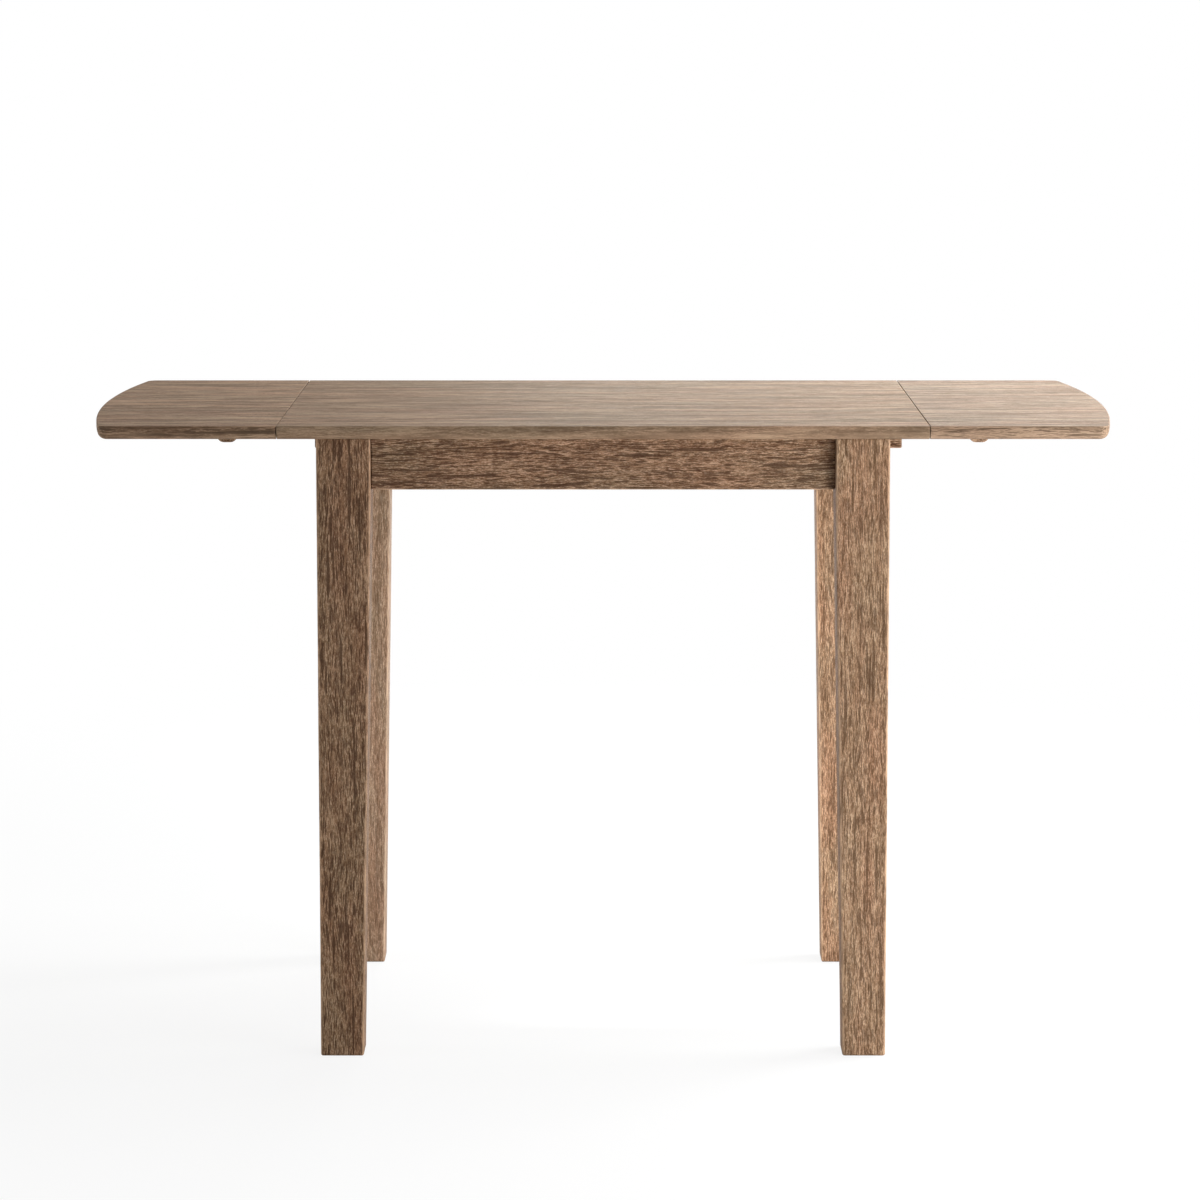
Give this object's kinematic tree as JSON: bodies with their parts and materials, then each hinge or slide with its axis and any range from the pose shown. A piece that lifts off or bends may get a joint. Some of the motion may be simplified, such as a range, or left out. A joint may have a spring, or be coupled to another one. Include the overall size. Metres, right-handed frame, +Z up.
{
  "type": "drop-leaf dining table",
  "caption": "Wooden dining table with tapered square legs, an apron frame, hinged drop leaves with bowed ends and pull-out slides that carry the raised leaves.",
  "frame": {"origin": "on the floor, under the middle of the table", "axes": "+X along the table's length to the right leaf, -Y to the front, +Z up"},
  "size_m": [1.224, 0.61, 0.756],
  "materials": {
    "top_wood": "smooth matt, taupe stain",
    "frame_wood": "matt, open-pored brown stain",
    "inner_wood": "unfinished, planed",
    "hinge_steel": "satin, antique plated",
    "zinc_steel": "bright zinc"
  },
  "bodies": {
    "frame": {"centre_top": "top_wood", "front_apron": "frame_wood", "back_apron": "frame_wood", "left_apron": "frame_wood", "right_apron": "frame_wood", "front_cleat": "inner_wood", "back_cleat": "inner_wood", "front_left_leg": "frame_wood", "front_left_corner_block": "inner_wood", "front_left_leg_bolt": "zinc_steel", "front_left_leg_washer": "zinc_steel", "front_left_leg_nut": "zinc_steel", "front_left_loper_keeper": "inner_wood", "front_left_hinge_top_plate": "hinge_steel", "front_left_hinge_pin": "hinge_steel", "front_right_leg": "frame_wood", "front_right_corner_block": "inner_wood", "front_right_leg_bolt": "zinc_steel", "front_right_leg_washer": "zinc_steel", "front_right_leg_nut": "zinc_steel", "front_right_loper_keeper": "inner_wood", "front_right_hinge_top_plate": "hinge_steel", "front_right_hinge_pin": "hinge_steel", "back_left_leg": "frame_wood", "back_left_corner_block": "inner_wood", "back_left_leg_bolt": "zinc_steel", "back_left_leg_washer": "zinc_steel", "back_left_leg_nut": "zinc_steel", "back_left_loper_keeper": "inner_wood", "back_left_hinge_top_plate": "hinge_steel", "back_left_hinge_pin": "hinge_steel", "back_right_leg": "frame_wood", "back_right_corner_block": "inner_wood", "back_right_leg_bolt": "zinc_steel", "back_right_leg_washer": "zinc_steel", "back_right_leg_nut": "zinc_steel", "back_right_loper_keeper": "inner_wood", "back_right_hinge_top_plate": "hinge_steel", "back_right_hinge_pin": "hinge_steel"},
    "left_leaf": {"left_leaf": "top_wood", "front_left_hinge_leaf_plate": "hinge_steel", "front_left_leaf_stop": "frame_wood", "back_left_hinge_leaf_plate": "hinge_steel", "back_left_leaf_stop": "frame_wood"},
    "right_leaf": {"right_leaf": "top_wood", "front_right_hinge_leaf_plate": "hinge_steel", "front_right_leaf_stop": "frame_wood", "back_right_hinge_leaf_plate": "hinge_steel", "back_right_leaf_stop": "frame_wood"},
    "front_left_loper": {"front_left_loper": "frame_wood", "front_left_loper_peg": "inner_wood"},
    "front_right_loper": {"front_right_loper": "frame_wood", "front_right_loper_peg": "inner_wood"},
    "back_left_loper": {"back_left_loper": "frame_wood", "back_left_loper_peg": "inner_wood"},
    "back_right_loper": {"back_right_loper": "frame_wood", "back_right_loper_peg": "inner_wood"}
  },
  "joints": [
    {"name": "left_leaf_fold", "type": "hinge", "parent": "frame", "child": "left_leaf", "pos_m": [-0.3815, 0, 0.7362], "axis": [0, 1, 0], "range_deg": [-90, 0]},
    {"name": "right_leaf_fold", "type": "hinge", "parent": "frame", "child": "right_leaf", "pos_m": [0.3815, 0, 0.7362], "axis": [0, -1, 0], "range_deg": [-90, 0]},
    {"name": "front_left_loper_slide", "type": "slide", "parent": "frame", "child": "front_left_loper", "axis": [-1, 0, 0], "range_m": [-0.0016, 0.0914]},
    {"name": "front_right_loper_slide", "type": "slide", "parent": "frame", "child": "front_right_loper", "axis": [1, 0, 0], "range_m": [-0.014, 0.079]},
    {"name": "back_left_loper_slide", "type": "slide", "parent": "frame", "child": "back_left_loper", "axis": [-1, 0, 0], "range_m": [-0.0016, 0.0914]},
    {"name": "back_right_loper_slide", "type": "slide", "parent": "frame", "child": "back_right_loper", "axis": [1, 0, 0], "range_m": [-0.014, 0.079]}
  ]
}
